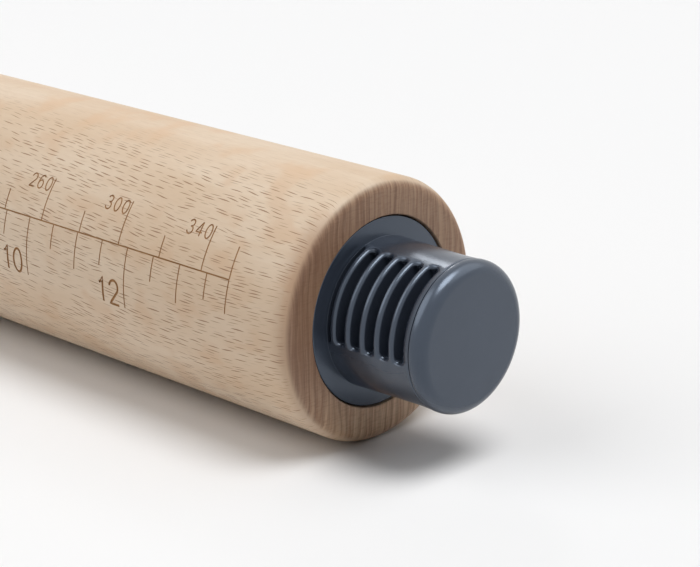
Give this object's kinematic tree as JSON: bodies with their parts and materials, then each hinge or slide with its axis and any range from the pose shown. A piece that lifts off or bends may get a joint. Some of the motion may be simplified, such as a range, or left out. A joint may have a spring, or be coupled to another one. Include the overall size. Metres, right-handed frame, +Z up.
{
  "type": "adjustable rolling pin",
  "caption": "Straight beech rolling pin with an engraved length scale and ribbed plastic end knobs that turn freely and pull out for fitting thickness discs.",
  "frame": {"origin": "middle of the barrel's length, on its axis", "axes": "+X along the barrel towards the right end, +Z up, the pin lying on a table below"},
  "size_m": [0.4182, 0.0436, 0.0436],
  "materials": {
    "beech": "sanded, unvarnished beech",
    "knob_plastic": "satin moulded",
    "bearing_nylon": "natural nylon, moulded",
    "turned_steel": "turned stainless steel",
    "seal_rubber": "black, matte"
  },
  "bodies": {
    "barrel": {"barrel": "beech", "right_socket_liner": "bearing_nylon", "left_socket_liner": "bearing_nylon"},
    "right_spindle": {"right_spindle": "turned_steel", "right_o_ring_outer": "seal_rubber", "right_o_ring_inner": "seal_rubber", "right_thrust_washer": "bearing_nylon", "right_screw_washer": "turned_steel", "right_retaining_screw": "turned_steel"},
    "right_knob": {"right_knob": "knob_plastic", "right_knob_cap": "knob_plastic", "right_bearing_bush": "bearing_nylon"},
    "left_spindle": {"left_spindle": "turned_steel", "left_o_ring_outer": "seal_rubber", "left_o_ring_inner": "seal_rubber", "left_thrust_washer": "bearing_nylon", "left_screw_washer": "turned_steel", "left_retaining_screw": "turned_steel"},
    "left_knob": {"left_knob": "knob_plastic", "left_knob_cap": "knob_plastic", "left_bearing_bush": "bearing_nylon"}
  },
  "joints": [
    {"name": "right_pull", "type": "slide", "parent": "barrel", "child": "right_spindle", "axis": [1, 0, 0], "range_m": [0, 0.045]},
    {"name": "right_spin", "type": "hinge", "parent": "right_spindle", "child": "right_knob", "pos_m": [0.19, 0, 0], "axis": [1, 0, 0], "continuous": true},
    {"name": "left_pull", "type": "slide", "parent": "barrel", "child": "left_spindle", "axis": [-1, 0, 0], "range_m": [0, 0.045]},
    {"name": "left_spin", "type": "hinge", "parent": "left_spindle", "child": "left_knob", "pos_m": [-0.19, 0, 0], "axis": [-1, 0, 0], "continuous": true}
  ]
}
